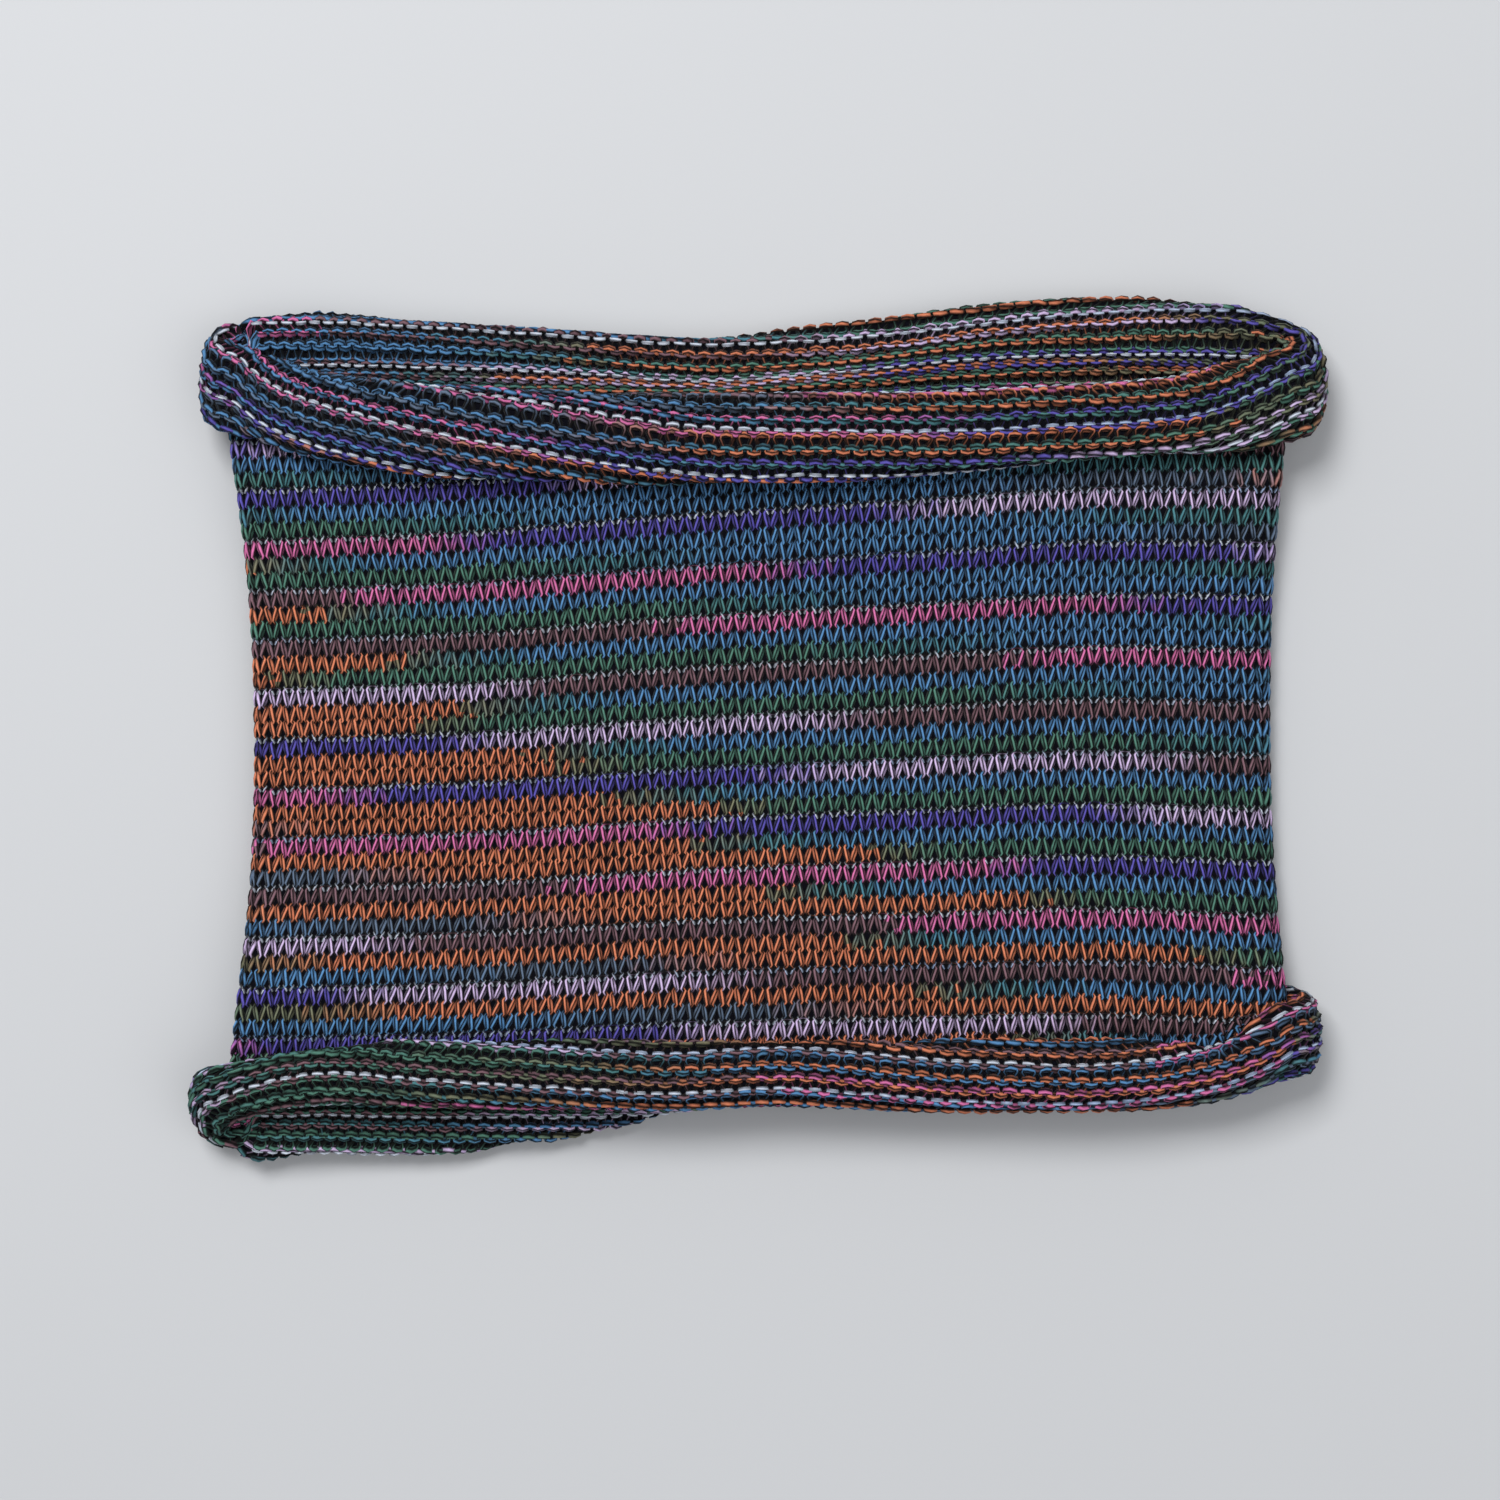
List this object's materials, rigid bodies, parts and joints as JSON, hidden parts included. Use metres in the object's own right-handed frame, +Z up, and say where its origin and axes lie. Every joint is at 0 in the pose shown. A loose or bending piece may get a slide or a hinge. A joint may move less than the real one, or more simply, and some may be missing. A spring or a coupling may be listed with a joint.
{
  "type": "neck gaiter",
  "caption": "Knitted neck gaiter: a wide stockinette tube lying flat, with both open edges curled outwards into soft rolls.",
  "frame": {"origin": "bottom centre of the gaiter as it lies flat, on the surface it lies on", "axes": "+X across the tube from side fold to side fold, +Y along the tube towards the top mouth, +Z up from the surface"},
  "size_m": [0.298, 0.2244, 0.0285],
  "materials": {
    "knit_body": "stockinette of marled self-striping yarns in blue, teal, violet, pink and orange over black, matt and slightly fuzzy",
    "top_roll": "purl side of the same knitting, rows of bumps in blue, violet, green and orange with pale dashes, matt",
    "bottom_roll": "purl side of the same knitting, green and mauve on the left, orange, blue and pink on the right, with pale dashes, matt"
  },
  "bodies": {
    "root": {"front_layer": "knit_body", "back_layer": "knit_body", "left_fold": "knit_body", "right_fold": "knit_body", "top_roll_front": "top_roll", "top_roll_back": "top_roll", "top_roll_left_end": "top_roll", "top_roll_right_end": "top_roll", "bottom_roll_front": "bottom_roll", "bottom_roll_back": "bottom_roll", "bottom_roll_left_end": "bottom_roll", "bottom_roll_right_end": "bottom_roll"}
  },
  "joints": []
}
